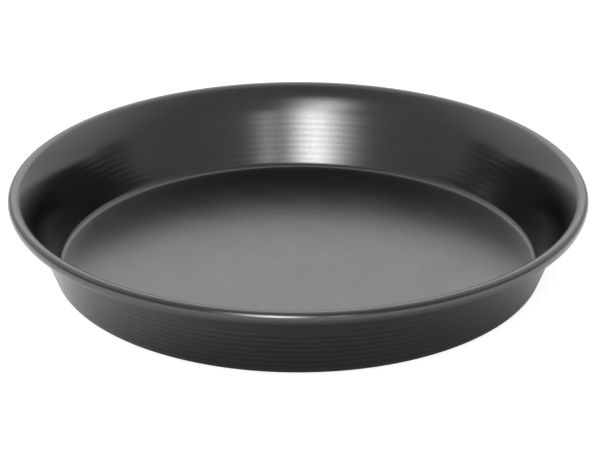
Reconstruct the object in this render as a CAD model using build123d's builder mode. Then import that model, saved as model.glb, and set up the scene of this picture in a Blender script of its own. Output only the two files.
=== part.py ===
from build123d import *
import math
import os

# Deep round pizza pan, spun from one disc of aluminium sheet, with its edge rolled over a steel wire.
# Millimetres and degrees. The origin is the middle of the underside, where the pan stands, and +Z is up.
# Both pieces are round about the Z axis, so each is one section turned through a full circle.

# Overall size
rim_diameter = 356.0
inside_depth = 50.8

# Sheet, and the bend between floor and wall
sheet_thickness = 1.6
corner_radius = 4.4

# Wall: a straight slant, then a flare that leans further out to the rim
wall_angle = 20.5
flare_radius = 50.0
lip_angle = 42.0

# Shallow rings that the spinning roller leaves round the inside of the straight wall
ring_pitch = 4.0
ring_height = 0.1
lowest_ring = 4.3

# Rolled rim: a shallow top, a tight shoulder, a flatter side that leans in below, and the tuck that
# brings the cut edge back to the flare. Each radius is that of the outer skin.
top_radius = 5.8
shoulder_radius = 2.95
shoulder_turn = 90.0
side_radius = 7.7
side_turn = 30.0
tuck_radius = 3.6
curl_gap = 0.3

# Wire inside the roll
wire_diameter = 3.0
wire_clearance = 0.2

# Flat steps in which each round bend of the section is drawn
corner_steps = 3
flare_steps = 3
top_steps = 2
shoulder_steps = 3
side_steps = 2
tuck_steps = 3
wire_sides = 8


def turned(angle):
    """Unit vector in the plane of the section, angle degrees anticlockwise from straight outwards."""
    return Vector(math.cos(math.radians(angle)), math.sin(math.radians(angle)))


def bend(centre, radius, start_angle, turn, steps):
    """Points along a round bend of the section. A negative turn runs clockwise."""
    return [centre + turned(start_angle + turn * step / steps) * radius for step in range(steps + 1)]


# The section is set out along the middle of the sheet, from the rim inwards.
# X is the distance from the axis and Y the height.
half_sheet = sheet_thickness / 2
pan_height = sheet_thickness + inside_depth

# The wall and the lip each have a normal that points out of the pan and down
wall_normal = turned(-wall_angle)
lip_normal = turned(-lip_angle)
up_the_wall = turned(90 - wall_angle)
top_turn = 90 - lip_angle

# The roll's four arcs join without a kink. The outermost point of the rim is where the shoulder ends,
# and the highest one is where the top ends.
shoulder_centre = Vector(rim_diameter / 2 - shoulder_radius, pan_height - shoulder_radius)
top_centre = shoulder_centre - turned(90) * (top_radius - shoulder_radius)
side_centre = shoulder_centre - turned(0) * (side_radius - shoulder_radius)
tuck_centre = side_centre + turned(-side_turn) * (side_radius - tuck_radius)

# The flare runs on into the roll without a kink, because both lie at the lip angle there
flare_end = top_centre - lip_normal * (top_radius - half_sheet)
flare_centre = flare_end + lip_normal * flare_radius
flare_start = flare_centre - wall_normal * flare_radius

# The straight wall fills the height that the flare and the corner leave
bend_radius = corner_radius + half_sheet
wall_foot_height = half_sheet + bend_radius - bend_radius * math.sin(math.radians(wall_angle))
wall_length = (flare_start.Y - wall_foot_height) / math.cos(math.radians(wall_angle))
wall_foot = flare_start - up_the_wall * wall_length
corner_centre = wall_foot - wall_normal * bend_radius
ring_count = 1 + int((wall_length - lowest_ring) / ring_pitch)

# The tuck stops where its outer skin comes within curl_gap of the flare's outer skin
to_tuck = tuck_centre - flare_centre
closest_radius = flare_radius - half_sheet - curl_gap
opening_cosine = (closest_radius**2 - to_tuck.length**2 - tuck_radius**2) / (
    2 * to_tuck.length * tuck_radius
)
tuck_end = math.degrees(math.atan2(to_tuck.Y, to_tuck.X) + math.acos(opening_cosine)) - 360
tuck_turn = -side_turn - tuck_end

# The wire lies against the middle of the roll's side
wire_centre = side_centre + turned(-side_turn / 2) * (
    side_radius - sheet_thickness - wire_clearance - wire_diameter / 2
)


def wall_rings():
    """Crests of the rings on the inner skin, with a hollow halfway between each two."""
    foot = wall_foot - wall_normal * half_sheet
    points = []
    for ring in range(ring_count):
        distance = lowest_ring + ring * ring_pitch
        if ring > 0:
            points.append(foot + up_the_wall * (distance - ring_pitch / 2))
        points.append(foot + up_the_wall * distance - wall_normal * ring_height)
    return points


def sheet_skin(side, rings):
    """One skin of the sheet from the axis to its edge, side millimetres outside the middle line."""
    axis_point = Vector(0, half_sheet - side)
    inset = half_sheet + side
    corner = bend(corner_centre, bend_radius + side, 270, 90 - wall_angle, corner_steps)
    flare = bend(flare_centre, flare_radius - side, 180 - wall_angle, wall_angle - lip_angle, flare_steps)
    top = bend(top_centre, top_radius - inset, 180 - lip_angle, -top_turn, top_steps)
    shoulder = bend(shoulder_centre, shoulder_radius - inset, 90, -shoulder_turn, shoulder_steps)
    side_wall = bend(side_centre, side_radius - inset, 0, -side_turn, side_steps)
    tuck = bend(tuck_centre, tuck_radius - inset, -side_turn, -tuck_turn, tuck_steps)
    return [axis_point, *corner, *rings, *flare, *top[1:], *shoulder[1:], *side_wall[1:], *tuck[1:]]


# Shell: floor, corner, ringed wall, flare and rolled rim, all one sheet.
# Each bend of the roll begins where the one before it ends, so it leaves out its first point.
inner_skin = sheet_skin(-half_sheet, wall_rings())
outer_skin = sheet_skin(half_sheet, [])
with BuildPart() as pan_shell:
    with BuildSketch(Plane.XZ) as sheet_section:
        with BuildLine():
            Polyline(*inner_skin, *reversed(outer_skin), close=True)
        make_face()
    revolve(axis=Axis.Z)

# Wire: a closed steel ring that the rolled rim goes round
with BuildPart() as rim_wire:
    with BuildSketch(Plane.XZ) as wire_section:
        with Locations(wire_centre):
            RegularPolygon(wire_diameter / 2, wire_sides)
    revolve(axis=Axis.Z)

pan_shell.part.label = "pan_shell"
rim_wire.part.label = "rim_wire"

os.makedirs("parts", exist_ok=True)
export_step(pan_shell.part, "parts/pan_shell.step")
export_step(rim_wire.part, "parts/rim_wire.step")
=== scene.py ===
import math

import bpy
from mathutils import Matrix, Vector


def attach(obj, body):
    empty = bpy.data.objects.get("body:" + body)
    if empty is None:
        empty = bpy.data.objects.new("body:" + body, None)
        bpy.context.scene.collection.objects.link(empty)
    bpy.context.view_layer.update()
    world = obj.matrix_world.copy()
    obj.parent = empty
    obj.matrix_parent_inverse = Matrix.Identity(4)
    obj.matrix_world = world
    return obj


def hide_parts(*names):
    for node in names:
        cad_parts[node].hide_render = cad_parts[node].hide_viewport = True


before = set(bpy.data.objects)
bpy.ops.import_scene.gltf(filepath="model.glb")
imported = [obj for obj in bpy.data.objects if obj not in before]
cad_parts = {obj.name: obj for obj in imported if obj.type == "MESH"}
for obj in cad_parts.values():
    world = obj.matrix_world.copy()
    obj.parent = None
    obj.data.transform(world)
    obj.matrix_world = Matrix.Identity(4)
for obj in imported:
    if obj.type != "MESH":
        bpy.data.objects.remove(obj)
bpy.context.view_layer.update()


# Spun shell
# One disc of aluminium sheet, spun over a block into floor, corner, slanted wall and flare, with its
# edge rolled over a wire. The roller leaves shallow rings round the straight part of the wall. The whole
# shell is hard anodised, which gives it a dark satin oxide skin.

# Sizes are in metres and angles in degrees. The rim is a tenth of a millimetre smaller than it is drawn
# in the solids, so that its smooth edge stays inside their flat facets.
rim_radius = 0.1779
inside_depth = 0.0508
sheet_thickness = 0.0016
corner_radius = 0.0044
wall_angle = 20.5
flare_radius = 0.050
lip_angle = 42.0

top_radius = 0.0058
shoulder_radius = 0.00295
shoulder_turn = 90.0
side_radius = 0.0077
side_turn = 30.0
tuck_radius = 0.0036
curl_gap = 0.0003

ring_pitch = 0.0040
lowest_ring = 0.0043
inner_ring_height = 0.000015
outer_ring_height = 0.00004
ring_samples = 12

floor_shares = (0, 0.25, 0.5, 0.75, 0.97)
corner_steps = 10
flare_steps = 14
top_steps = 8
shoulder_steps = 14
side_steps = 6
tuck_steps = 20


def turned(angle):
    """Unit vector in the section's plane, angle degrees anticlockwise from straight outwards."""
    return Vector((math.cos(math.radians(angle)), math.sin(math.radians(angle))))


def bend(centre, radius, start_angle, turn, steps):
    """Points along a round bend of the section. A negative turn runs clockwise."""
    return [centre + turned(start_angle + turn * step / steps) * radius for step in range(steps + 1)]


# The section is set out along the middle of the sheet. X is the distance from the axis, Y the height.
half_sheet = sheet_thickness / 2
pan_height = sheet_thickness + inside_depth
wall_normal = turned(-wall_angle)
lip_normal = turned(-lip_angle)
up_the_wall = turned(90 - wall_angle)
top_turn = 90 - lip_angle

# The roll's four arcs: a shallow top, a tight shoulder, a flatter side that leans in, and the tuck
shoulder_centre = Vector((rim_radius - shoulder_radius, pan_height - shoulder_radius))
top_centre = shoulder_centre - turned(90) * (top_radius - shoulder_radius)
side_centre = shoulder_centre - turned(0) * (side_radius - shoulder_radius)
tuck_centre = side_centre + turned(-side_turn) * (side_radius - tuck_radius)

# The flare and the straight wall below it
flare_centre = top_centre + lip_normal * (flare_radius - top_radius + half_sheet)
flare_start = flare_centre - wall_normal * flare_radius
bend_radius = corner_radius + half_sheet
wall_foot_height = half_sheet + bend_radius - bend_radius * math.sin(math.radians(wall_angle))
wall_length = (flare_start.y - wall_foot_height) / math.cos(math.radians(wall_angle))
wall_foot = flare_start - up_the_wall * wall_length
corner_centre = wall_foot - wall_normal * bend_radius
ring_count = 1 + int((wall_length - lowest_ring) / ring_pitch)

# The tuck stops where its outer skin comes within curl_gap of the flare's outer skin
to_tuck = tuck_centre - flare_centre
closest_radius = flare_radius - half_sheet - curl_gap
opening_cosine = (closest_radius**2 - to_tuck.length**2 - tuck_radius**2) / (
    2 * to_tuck.length * tuck_radius
)
tuck_end = math.degrees(math.atan2(to_tuck.y, to_tuck.x) + math.acos(opening_cosine)) - 360
tuck_turn = -side_turn - tuck_end


def rings(side, height):
    """The straight wall's rings on one skin: smooth waves that stand height proud of the skin."""
    foot = wall_foot + wall_normal * side
    proud = wall_normal * math.copysign(height, side)
    start = lowest_ring - ring_pitch / 2
    points = []
    for sample in range(ring_count * ring_samples + 1):
        turn = sample / ring_samples
        wave = (1 - math.cos(2 * math.pi * turn)) / 2
        points.append(foot + up_the_wall * (start + turn * ring_pitch) + proud * wave)
    return points


def skin(side, ring_height):
    """One skin of the sheet from the axis to its cut edge, side metres outside the middle line."""
    inset = half_sheet + side
    floor = [Vector((corner_centre.x * share, half_sheet - side)) for share in floor_shares]
    corner = bend(corner_centre, bend_radius + side, 270, 90 - wall_angle, corner_steps)
    flare = bend(flare_centre, flare_radius - side, 180 - wall_angle, wall_angle - lip_angle, flare_steps)
    top = bend(top_centre, top_radius - inset, 180 - lip_angle, -top_turn, top_steps)
    shoulder = bend(shoulder_centre, shoulder_radius - inset, 90, -shoulder_turn, shoulder_steps)
    side_wall = bend(side_centre, side_radius - inset, 0, -side_turn, side_steps)
    tuck = bend(tuck_centre, tuck_radius - inset, -side_turn, -tuck_turn, tuck_steps)
    wall = rings(side, ring_height)
    return [*floor, *corner, *wall, *flare, *top[1:], *shoulder[1:], *side_wall[1:], *tuck[1:]]


def add_node(tree, kind, inputs=(), **settings):
    """Adds a node, sets its properties, and gives its inputs values or links."""
    node = tree.nodes.new(kind)
    for name, value in settings.items():
        setattr(node, name, value)
    for key, value in dict(inputs).items():
        if isinstance(value, bpy.types.Node):
            value = next(socket for socket in value.outputs if socket.enabled)
        if isinstance(value, bpy.types.NodeSocket):
            tree.links.new(value, node.inputs[key])
        else:
            node.inputs[key].default_value = value
    return node


# The spinning itself: a tree that turns a section, drawn with X outwards and Y up, through a full circle,
# closes it on the axis, keeps its cut edges sharp, and gives the floor a finish of its own. The section is
# carried round by a small circle, the spindle. Points on the axis that meet again are merged.
turn_segments = 256
spindle_radius = 0.01
merge_distance = 0.000001
crease_angle = 30.0

spinning = bpy.data.node_groups.new("spin_section", "GeometryNodeTree")
for socket_name, kind in (
    ("Section", "Geometry"),
    ("Segments", "Int"),
    ("Spindle Radius", "Float"),
    ("Crease Angle", "Float"),
    ("Floor Radius", "Float"),
    ("Finish", "Material"),
    ("Floor Finish", "Material"),
):
    spinning.interface.new_socket(socket_name, in_out="INPUT", socket_type="NodeSocket" + kind)
spinning.interface.new_socket("Piece", in_out="OUTPUT", socket_type="NodeSocketGeometry")
given = add_node(spinning, "NodeGroupInput").outputs
line = add_node(spinning, "GeometryNodeMeshToCurve", {"Mesh": given["Section"]})
inwards = add_node(spinning, "ShaderNodeMath", {0: 0.0, 1: given["Spindle Radius"]}, operation="SUBTRACT")
shift = add_node(spinning, "ShaderNodeCombineXYZ", {"X": inwards})
placed = add_node(
    spinning, "GeometryNodeTransform", {"Geometry": line, "Translation": shift, "Scale": (1, -1, 1)}
)
spindle = add_node(
    spinning,
    "GeometryNodeCurvePrimitiveCircle",
    {"Resolution": given["Segments"], "Radius": given["Spindle Radius"]},
)
spun = add_node(spinning, "GeometryNodeCurveToMesh", {"Curve": spindle, "Profile Curve": placed})
closed_up = add_node(spinning, "GeometryNodeMergeByDistance", {"Geometry": spun, "Distance": merge_distance})
fold = add_node(spinning, "GeometryNodeInputMeshEdgeAngle").outputs["Unsigned Angle"]
gentle = add_node(
    spinning,
    "FunctionNodeCompare",
    {0: fold, 1: given["Crease Angle"]},
    data_type="FLOAT",
    operation="LESS_THAN",
)
smooth = add_node(
    spinning, "GeometryNodeSetShadeSmooth", {"Geometry": closed_up, "Shade Smooth": gentle}, domain="EDGE"
)
place = add_node(spinning, "GeometryNodeInputPosition")
outwards = add_node(spinning, "ShaderNodeVectorMath", {0: place, 1: (1, 1, 0)}, operation="MULTIPLY")
reach = add_node(spinning, "ShaderNodeVectorMath", {0: outwards}, operation="LENGTH").outputs["Value"]
on_floor = add_node(
    spinning,
    "FunctionNodeCompare",
    {0: reach, 1: given["Floor Radius"]},
    data_type="FLOAT",
    operation="LESS_THAN",
)
real = add_node(spinning, "GeometryNodeRealizeInstances", {"Geometry": smooth})
finished = add_node(spinning, "GeometryNodeSetMaterial", {"Geometry": real, "Material": given["Finish"]})
floored = add_node(
    spinning,
    "GeometryNodeSetMaterial",
    {"Geometry": finished, "Selection": on_floor, "Material": given["Floor Finish"]},
)
add_node(spinning, "NodeGroupOutput", {"Piece": floored})


def spin(name, outline, closed, sizes):
    """Turns an outline into a plain mesh object. Sizes are the tree's inputs by name."""
    count = len(outline)
    edges = [(index, (index + 1) % count) for index in range(count if closed else count - 1)]
    drawing = bpy.data.meshes.new(name + "_section")
    drawing.from_pydata([(point.x, point.y, 0) for point in outline], edges, [])
    blank = bpy.data.objects.new(name + "_section", drawing)
    bpy.context.scene.collection.objects.link(blank)
    modifier = blank.modifiers.new("spin", "NODES")
    modifier.node_group = spinning
    for socket in spinning.interface.items_tree:
        if socket.name in sizes:
            modifier[socket.identifier] = sizes[socket.name]
    mesh = bpy.data.meshes.new_from_object(blank.evaluated_get(bpy.context.evaluated_depsgraph_get()))
    mesh.name = name
    blank.modifiers.remove(modifier)
    bpy.data.objects.remove(blank)
    piece = bpy.data.objects.new(name, mesh)
    bpy.context.scene.collection.objects.link(piece)
    return piece


def linear(code):
    """An sRGB hex colour as linear RGBA."""
    parts = [int(code[start : start + 2], 16) / 255 for start in (1, 3, 5)]
    return (*[part / 12.92 if part <= 0.04045 else ((part + 0.055) / 1.055) ** 2.4 for part in parts], 1)


# Hard anodised aluminium: a near-black oxide skin that grows out of the metal, with the satin shine of its
# own hard surface. It is full of pores too fine to see. Where there are more of them it mirrors less, which
# mottles the shine. The mottle is drawn at 1.4 mm, and weaker where the roller has pressed the metal.
oxide_black = "#030303"
oxide_worn = "#080808"
oxide_ior = 1.77
mottle_size = 0.0014
spun_mottling = (0.47, 0.53)
floor_mottling = (0.44, 0.56)
cloud_size = 0.03
# The part of its range in which a noise nearly always lies, as the From Min and From Max of a Map Range
noise_span = {1: 0.3, 2: 0.7}


def oxide_material(name, mottling):
    """The common part of both oxide finishes. Gives back the material, the place that its patterns read, its
    mottle, which lies between the two levels of mottling, and the slow clouds that vary its tint."""
    material = bpy.data.materials.new(name)
    material.use_nodes = True
    tree = material.node_tree
    shader = tree.nodes["Principled BSDF"]
    shader.inputs["IOR"].default_value = oxide_ior
    place = add_node(tree, "ShaderNodeTexCoord").outputs["Object"]
    pores = add_node(tree, "ShaderNodeTexNoise", {"Vector": place, "Scale": 1 / mottle_size, "Detail": 2.0})
    mottle = add_node(tree, "ShaderNodeMapRange", {0: pores, **noise_span, 3: mottling[0], 4: mottling[1]})
    clouds = add_node(tree, "ShaderNodeTexNoise", {"Vector": place, "Scale": 1 / cloud_size, "Detail": 3.0})
    tints = {0: clouds, 6: linear(oxide_black), 7: linear(oxide_worn)}
    tint = add_node(tree, "ShaderNodeMix", tints, data_type="RGBA").outputs[2]
    tree.links.new(tint, shader.inputs["Base Color"])
    return material, place, mottle, clouds


def section_place(tree, place):
    """A place's offset from the axis, its distance from the axis, and its height."""
    offset = add_node(tree, "ShaderNodeVectorMath", {0: place, 1: (1, 1, 0)}, operation="MULTIPLY")
    reach = add_node(tree, "ShaderNodeVectorMath", {0: offset}, operation="LENGTH").outputs["Value"]
    return offset, reach, add_node(tree, "ShaderNodeSeparateXYZ", {0: place}).outputs["Z"]


# Hard anodised aluminium, as spun: the roller leaves fine marks that run round the axis, so a highlight on
# the wall stretches up and down. Real marks are a few tenths of a millimetre apart, and are drawn at 0.9 mm,
# coarse enough to show.
spun_stretch = 0.6
spun_roughness = (0.17, 0.19)
mark_spacing = 0.0009
mark_length = 0.35
mark_depth = 0.000001
mark_shine = (0.95, 1.05)

spun_oxide, spun_place, spun_mottle, _ = oxide_material("hard_anodised_aluminium_spun", spun_mottling)
spun_tree = spun_oxide.node_tree
spun_shader = spun_tree.nodes["Principled BSDF"]
spun_shader.inputs["Anisotropic"].default_value = spun_stretch
round_axis = add_node(spun_tree, "ShaderNodeTangent", direction_type="RADIAL", axis="Z")
spun_tree.links.new(round_axis.outputs[0], spun_shader.inputs["Tangent"])

# Marks: noise that changes slowly round the axis and quickly across the marks, along the section
spun_offset, spun_reach, spun_height = section_place(spun_tree, spun_place)
spun_round = add_node(spun_tree, "ShaderNodeVectorMath", {0: spun_offset}, operation="NORMALIZE")
spun_slow = add_node(
    spun_tree, "ShaderNodeVectorMath", {0: spun_round, 3: 1 / mark_length}, operation="SCALE"
)
spun_along = add_node(spun_tree, "ShaderNodeMath", {0: spun_reach, 1: spun_height}, operation="ADD")
spun_quick = add_node(
    spun_tree, "ShaderNodeMath", {0: spun_along, 1: 1 / mark_spacing}, operation="MULTIPLY"
)
spun_rise = add_node(spun_tree, "ShaderNodeCombineXYZ", {"Z": spun_quick})
spun_grid = add_node(spun_tree, "ShaderNodeVectorMath", {0: spun_slow, 1: spun_rise}, operation="ADD")
spun_marks = add_node(
    spun_tree, "ShaderNodeTexNoise", {"Vector": spun_grid, "Scale": 1.0, "Detail": 2.0, "Roughness": 0.6}
)
spun_shine = add_node(
    spun_tree, "ShaderNodeMapRange", {0: spun_marks, **noise_span, 3: spun_roughness[0], 4: spun_roughness[1]}
)
spun_tree.links.new(spun_shine.outputs[0], spun_shader.inputs["Roughness"])
spun_bump = add_node(
    spun_tree, "ShaderNodeBump", {"Strength": 1.0, "Distance": mark_depth, "Height": spun_marks}
)
spun_tree.links.new(spun_bump.outputs[0], spun_shader.inputs["Normal"])
spun_streak = add_node(
    spun_tree, "ShaderNodeMapRange", {0: spun_marks, **noise_span, 3: mark_shine[0], 4: mark_shine[1]}
)
spun_level = add_node(spun_tree, "ShaderNodeMath", {0: spun_mottle, 1: spun_streak}, operation="MULTIPLY")

# Rings: the roller polishes the crest of each ring of the straight wall, and leaves the hollow duller.
# It presses on the outer skin, so the rings show more there than on the inner one. The pair is the polish
# of the inner and of the outer skin. Heights are measured up the axis.
ring_polish = (0.05, 0.18)
ring_rise = ring_pitch * math.cos(math.radians(wall_angle))
first_crest = wall_foot.y + lowest_ring * math.cos(math.radians(wall_angle))
middle_side = wall_foot.dot(wall_normal)

spun_section = add_node(spun_tree, "ShaderNodeCombineXYZ", {"X": spun_reach, "Y": spun_height})
spun_side = add_node(
    spun_tree, "ShaderNodeVectorMath", {0: spun_section, 1: (*wall_normal, 0)}, operation="DOT_PRODUCT"
).outputs["Value"]
spun_contrast = add_node(
    spun_tree,
    "ShaderNodeMapRange",
    {
        0: spun_side,
        1: middle_side - half_sheet,
        2: middle_side + half_sheet,
        3: ring_polish[0],
        4: ring_polish[1],
    },
)
spun_turn = add_node(spun_tree, "ShaderNodeMath", {0: spun_height, 1: first_crest}, operation="SUBTRACT")
spun_turn = add_node(
    spun_tree, "ShaderNodeMath", {0: spun_turn, 1: 2 * math.pi / ring_rise}, operation="MULTIPLY"
)
spun_turn = add_node(spun_tree, "ShaderNodeMath", {0: spun_turn}, operation="COSINE")
spun_ringed = add_node(
    spun_tree,
    "ShaderNodeMapRange",
    {0: spun_height, 1: flare_start.y, 2: flare_start.y - ring_rise / 2, 3: 0.0, 4: spun_contrast},
)
spun_polish = add_node(
    spun_tree, "ShaderNodeMath", {0: spun_turn, 1: spun_ringed, 2: 1.0}, operation="MULTIPLY_ADD"
)
spun_level = add_node(spun_tree, "ShaderNodeMath", {0: spun_level, 1: spun_polish}, operation="MULTIPLY")
spun_tree.links.new(spun_level.outputs[0], spun_shader.inputs["Specular IOR Level"])

# Hard anodised aluminium, as rolled: the roller never touched the floor, so it shines alike in every
# direction. The rolled sheet's own grain, a few hundredths of a millimetre across, is drawn at 0.8 mm to
# show.
floor_roughness = (0.24, 0.28)
grain_size = 0.0008
grain_depth = 0.000002

rolled_oxide, rolled_place, rolled_mottle, rolled_clouds = oxide_material(
    "hard_anodised_aluminium_sheet", floor_mottling
)
rolled_tree = rolled_oxide.node_tree
rolled_shader = rolled_tree.nodes["Principled BSDF"]
rolled_tree.links.new(rolled_mottle.outputs[0], rolled_shader.inputs["Specular IOR Level"])
rolled_grain = add_node(
    rolled_tree, "ShaderNodeTexNoise", {"Vector": rolled_place, "Scale": 1 / grain_size, "Detail": 2.0}
)
rolled_bump = add_node(
    rolled_tree, "ShaderNodeBump", {"Strength": 1.0, "Distance": grain_depth, "Height": rolled_grain}
)
rolled_tree.links.new(rolled_bump.outputs[0], rolled_shader.inputs["Normal"])
rolled_shine = add_node(
    rolled_tree,
    "ShaderNodeMapRange",
    {0: rolled_clouds, **noise_span, 3: floor_roughness[0], 4: floor_roughness[1]},
)
rolled_tree.links.new(rolled_shine.outputs[0], rolled_shader.inputs["Roughness"])

shell_outline = [*skin(-half_sheet, inner_ring_height), *reversed(skin(half_sheet, outer_ring_height))]
shell_sizes = {
    "Segments": turn_segments,
    "Spindle Radius": spindle_radius,
    "Crease Angle": math.radians(crease_angle),
    "Floor Radius": corner_centre.x,
    "Finish": spun_oxide,
    "Floor Finish": rolled_oxide,
}
shell = spin("spun_shell", shell_outline, False, shell_sizes)
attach(shell, "root")
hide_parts("pan_shell")


# Rim wire
# A round steel wire bent into a ring, over which the edge of the sheet is rolled to stiffen the rim. It
# lies against the roll's side, closed in all round.
wire_radius = 0.0015
wire_clearance = 0.0002
wire_steps = 24
wire_centre = side_centre + turned(-side_turn / 2) * (
    side_radius - sheet_thickness - wire_clearance - wire_radius
)

# Drawn steel wire: bright metal, drawn through a die, with fine lines along it that dull its shine. The
# lines, some hundredths of a millimetre apart, are drawn at 0.2 mm to show.
steel_grey = "#8d8c89"
wire_roughness = (0.28, 0.42)
drawing_line = 0.0002

drawn_steel = bpy.data.materials.new("drawn_steel_wire")
drawn_steel.use_nodes = True
steel_tree = drawn_steel.node_tree
steel_shader = steel_tree.nodes["Principled BSDF"]
steel_shader.inputs["Base Color"].default_value = linear(steel_grey)
steel_shader.inputs["Metallic"].default_value = 1.0
steel_place = add_node(steel_tree, "ShaderNodeTexCoord").outputs["Object"]
_, steel_reach, steel_height = section_place(steel_tree, steel_place)
steel_section = add_node(steel_tree, "ShaderNodeCombineXYZ", {"X": steel_reach, "Y": steel_height})
steel_lines = add_node(
    steel_tree, "ShaderNodeTexNoise", {"Vector": steel_section, "Scale": 1 / drawing_line, "Detail": 1.0}
)
steel_shine = add_node(
    steel_tree,
    "ShaderNodeMapRange",
    {0: steel_lines, **noise_span, 3: wire_roughness[0], 4: wire_roughness[1]},
)
steel_tree.links.new(steel_shine.outputs[0], steel_shader.inputs["Roughness"])

wire_outline = bend(wire_centre, wire_radius, 0, 360, wire_steps)[:-1]
wire_sizes = {**shell_sizes, "Floor Radius": 0.0, "Finish": drawn_steel, "Floor Finish": drawn_steel}
wire = spin("rim_wire_ring", wire_outline, True, wire_sizes)
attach(wire, "root")
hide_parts("rim_wire")


# Paper sweep
# Pale matt paper, laid flat under and behind the pan, and lit so that the camera sees it as plain white. It
# still takes the pan's soft shadow. The pan mirrors it as white too, but darker near its own front foot:
# there a painted shade, standing in for the pan's shade on the paper, dims the glow that the paper sends to
# mirrors.

# The paper lies a tenth of a millimetre under the pan, so that no two faces share a plane
sweep_reach = 3.0
paper_gap = 0.0001
# Paper is pressed from fibres a few hundredths of a millimetre thick, which cloud its grey. The clouds are
# drawn at 2 mm to show.
paper_white = "#ffffff"
paper_grey = "#a2a2a2"
paper_pale = "#aeaeae"
fibre_size = 0.002
# What is added to the light that the paper sends back: for the camera, and in mirrors outside a painted
# shade, which ends between the two radii about its centre. The painted shade stands in for the pan's shade
# near its foot.
glow_to_camera = 0.8
glow_to_shine = 1.0
painted_shade_radii = (0.10, 0.215)
painted_shade_centre = (0.015, -0.06, 0)

sweep_mesh = bpy.data.meshes.new("paper_sweep")
sweep_corners = [
    (side * sweep_reach, end * sweep_reach, -paper_gap)
    for side, end in ((-1, -1), (1, -1), (1, 1), (-1, 1))
]
sweep_mesh.from_pydata(sweep_corners, [], [(0, 1, 2, 3)])
sweep = bpy.data.objects.new("paper_sweep", sweep_mesh)
bpy.context.scene.collection.objects.link(sweep)

paper = bpy.data.materials.new("white_paper")
paper.use_nodes = True
paper_tree = paper.node_tree
paper_tree.nodes.clear()
paper_ray = add_node(paper_tree, "ShaderNodeLightPath").outputs
paper_shine = add_node(
    paper_tree,
    "ShaderNodeMath",
    {0: paper_ray["Is Glossy Ray"], 1: paper_ray["Is Transmission Ray"]},
    operation="MAXIMUM",
)
paper_place = add_node(paper_tree, "ShaderNodeTexCoord").outputs["Object"]
# The painted shade: in mirrors the paper's glow is painted dark about its centre, and comes back between the
# two radii
painted_shade_reach = add_node(
    paper_tree, "ShaderNodeVectorMath", {0: paper_place, 1: painted_shade_centre}, operation="DISTANCE"
).outputs["Value"]
painted_shade_fade = add_node(
    paper_tree,
    "ShaderNodeMapRange",
    {0: painted_shade_reach, 1: painted_shade_radii[0], 2: painted_shade_radii[1], 3: 0.0, 4: glow_to_shine},
    interpolation_type="SMOOTHSTEP",
)
paper_shine = add_node(paper_tree, "ShaderNodeMath", {0: paper_shine, 1: painted_shade_fade}, operation="MULTIPLY")
paper_glow = add_node(
    paper_tree,
    "ShaderNodeMath",
    {0: paper_ray["Is Camera Ray"], 1: glow_to_camera, 2: paper_shine},
    operation="MULTIPLY_ADD",
)
paper_light = add_node(
    paper_tree, "ShaderNodeEmission", {"Color": linear(paper_white), "Strength": paper_glow}
)
paper_fibres = add_node(
    paper_tree, "ShaderNodeTexNoise", {"Vector": paper_place, "Scale": 1 / fibre_size, "Detail": 3.0}
)
paper_tints = {0: paper_fibres, 6: linear(paper_grey), 7: linear(paper_pale)}
paper_tint = add_node(paper_tree, "ShaderNodeMix", paper_tints, data_type="RGBA").outputs[2]
paper_matt = add_node(paper_tree, "ShaderNodeBsdfDiffuse", {"Color": paper_tint})
paper_both = add_node(paper_tree, "ShaderNodeAddShader", {0: paper_light, 1: paper_matt})
add_node(paper_tree, "ShaderNodeOutputMaterial", {"Surface": paper_both})
sweep_mesh.materials.append(paper)


# Room
# White cloth hung behind, over and in front of the table, with both sides left open. It is brightest behind
# and above, a little dimmer low behind the table, dimmer still in front, and dark at the two open sides. The
# camera sees it as plain white.

# Each pair is where one level gives way to the next, as a share of the way from the middle of the room
# straight to its back, to one side, or up
cloth_white = "#ffffff"
camera_level = 1.0
front_level = 0.5
back_level = 1.3
side_level = 0.2
table_level = 0.85
front_to_back = (-0.5, 0.5)
cloth_to_side = (0.96, 1.0)
table_to_cloth = (0.2, 0.6)

room = bpy.data.worlds.new("room")
bpy.context.scene.world = room
room.use_nodes = True
room_tree = room.node_tree
room_tree.nodes.clear()
room_way = add_node(room_tree, "ShaderNodeTexCoord").outputs["Generated"]
room_way = add_node(room_tree, "ShaderNodeSeparateXYZ", {0: room_way}).outputs
room_behind = add_node(
    room_tree,
    "ShaderNodeMapRange",
    {0: room_way["Z"], 1: table_to_cloth[0], 2: table_to_cloth[1], 3: table_level, 4: back_level},
    interpolation_type="SMOOTHSTEP",
)
room_cloth = add_node(
    room_tree,
    "ShaderNodeMapRange",
    {0: room_way["Y"], 1: front_to_back[0], 2: front_to_back[1], 3: front_level, 4: room_behind},
    interpolation_type="SMOOTHSTEP",
)
room_side = add_node(room_tree, "ShaderNodeMath", {0: room_way["X"]}, operation="ABSOLUTE")
room_side = add_node(
    room_tree,
    "ShaderNodeMapRange",
    {0: room_side, 1: cloth_to_side[0], 2: cloth_to_side[1], 3: room_cloth, 4: side_level},
    interpolation_type="SMOOTHSTEP",
)
room_ray = add_node(room_tree, "ShaderNodeLightPath").outputs
room_light = add_node(
    room_tree, "ShaderNodeMapRange", {0: room_ray["Is Camera Ray"], 3: room_side, 4: camera_level}
)
room_back = add_node(
    room_tree, "ShaderNodeBackground", {"Color": linear(cloth_white), "Strength": room_light}
)
add_node(room_tree, "ShaderNodeOutputWorld", {"Surface": room_back})


# Softboxes
# Rectangular lamps that face the pan and fade towards their edges, as cloth-fronted lamps do. Azimuth is
# measured from the camera's side, positive to the right. Brightness is what a mirror shows of the middle.
lamp_distance = 2.0
lamp_watts = 4.0  # watts for each square metre of lamp that let a mirror show it at a brightness of 1
lamp_middle = 0.5  # the middle of a lamp's face in Blender's own coordinates, which run from 0 to 1


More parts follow.
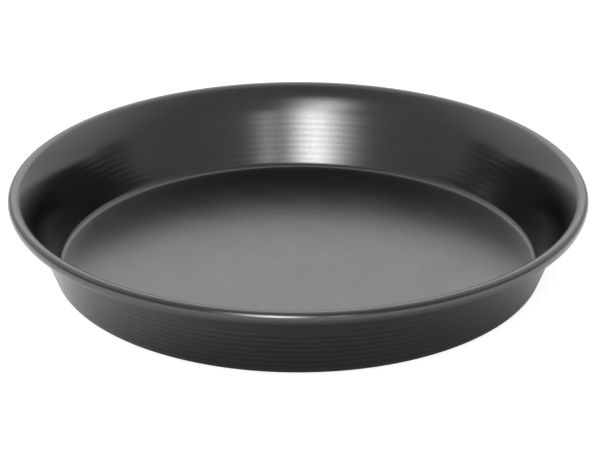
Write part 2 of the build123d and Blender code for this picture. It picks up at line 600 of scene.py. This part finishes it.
def softbox(name, azimuth, elevation, size, brightness, soft):
    """Hangs a lamp by its angles in degrees. Size and soft are pairs: across, and up and down. Soft is the
    share of the way from an edge to the middle over which the lamp fades."""
    lamp = bpy.data.lights.new(name, "AREA")
    lamp.shape = "RECTANGLE"
    lamp.size, lamp.size_y = size
    lamp.energy = brightness * lamp_watts * lamp.size * lamp.size_y
    lamp.use_nodes = True
    tree = lamp.node_tree
    tree.nodes.clear()
    spot = add_node(tree, "ShaderNodeNewGeometry").outputs["Parametric"]
    middle = (lamp_middle, lamp_middle, 0)
    offset = add_node(tree, "ShaderNodeVectorMath", {0: spot, 1: middle}, operation="SUBTRACT")
    offset = add_node(tree, "ShaderNodeVectorMath", {0: offset}, operation="ABSOLUTE")
    offset = add_node(tree, "ShaderNodeSeparateXYZ", {0: offset}).outputs
    fades = [
        add_node(
            tree,
            "ShaderNodeMapRange",
            {0: offset[axis], 1: lamp_middle, 2: lamp_middle * (1 - share)},
            interpolation_type="SMOOTHSTEP",
        )
        for axis, share in zip("XY", soft)
    ]
    level = add_node(tree, "ShaderNodeMath", {0: fades[0], 1: fades[1]}, operation="MULTIPLY")
    glow = add_node(tree, "ShaderNodeEmission", {"Strength": level})
    add_node(tree, "ShaderNodeOutputLight", {0: glow})
    across, up = math.radians(azimuth), math.radians(elevation)
    away = Vector((math.sin(across) * math.cos(up), -math.cos(across) * math.cos(up), math.sin(up)))
    holder = bpy.data.objects.new(name, lamp)
    holder.location = away * lamp_distance
    holder.rotation_euler = away.to_track_quat("Z", "Y").to_euler()
    bpy.context.scene.collection.objects.link(holder)


softbox("front_key", -8, 16, (1.0, 1.9), 12.6, (1.0, 1.0))
softbox("front_top", -13, 39, (1.1, 1.1), 5.2, (1.0, 1.0))
softbox("front_left", -22, 18, (0.6, 0.9), 1.9, (1.0, 1.0))
softbox("front_right", 15.2, 16, (0.26, 1.3), 2.9, (0.15, 1.0))
softbox("backdrop_glow", 180, 30, (2.0, 1.2), 0.55, (0.4, 0.4))


# Camera
# The photograph's view: from the front and above, through a long lens. Columns and rows are those of the
# photograph, 600 wide and 450 high.
picture_width = 600
picture_height = 450
sensor_width = 36.0
view_distance = 1.54
view_elevation = math.radians(23.70)
focal_pixels = 2501
rim_centre_column = 298.2
rim_centre_row = 190.6
rim_centre = Vector((0, 0, 0.0488))

backwards = Vector((0, -math.cos(view_elevation), math.sin(view_elevation)))
picture_up = Vector((0, math.sin(view_elevation), math.cos(view_elevation)))
aim = (
    -backwards * focal_pixels
    + Vector((1, 0, 0)) * (picture_width / 2 - rim_centre_column)
    - picture_up * (picture_height / 2 - rim_centre_row)
)
lens = bpy.data.cameras.new("camera")
lens.sensor_width = sensor_width
lens.lens = focal_pixels * sensor_width / picture_width
camera = bpy.data.objects.new("camera", lens)
bpy.context.scene.collection.objects.link(camera)
camera.location = rim_centre + backwards * view_distance
camera.rotation_euler = aim.to_track_quat("-Z", "Y").to_euler()
bpy.context.scene.camera = camera
bpy.context.scene.view_settings.view_transform = "Standard"
